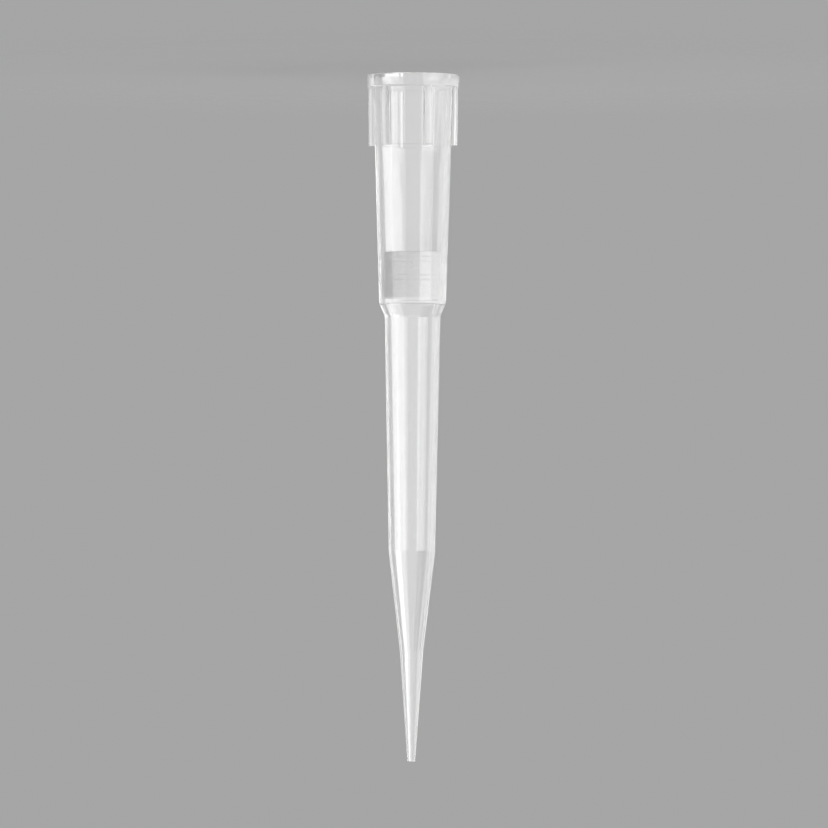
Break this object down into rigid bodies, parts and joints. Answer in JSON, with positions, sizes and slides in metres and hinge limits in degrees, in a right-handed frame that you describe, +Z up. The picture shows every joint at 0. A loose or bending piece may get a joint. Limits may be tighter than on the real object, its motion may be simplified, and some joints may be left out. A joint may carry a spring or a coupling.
{
  "type": "pipette tip",
  "caption": "Clear ribbed-collar pipette tip with a porous filter plug in its bore, standing on its wide mouth; it seals on a nose cone and carries liquid to a fine tapered point.",
  "frame": {"origin": "centre of the mouth, in the plane of the rim's flat face", "axes": "+Z up the axis from the mouth to the point, +X through the middle of one rib"},
  "size_m": [0.0074, 0.0074, 0.054],
  "materials": {
    "tip_body": "natural polypropylene, clear with a slight haze, moulded gloss",
    "filter_plug": "sintered porous polyethylene, white, matt and grainy"
  },
  "bodies": {
    "root": {"tip_body": "tip_body", "filter_plug": "filter_plug"}
  },
  "joints": []
}
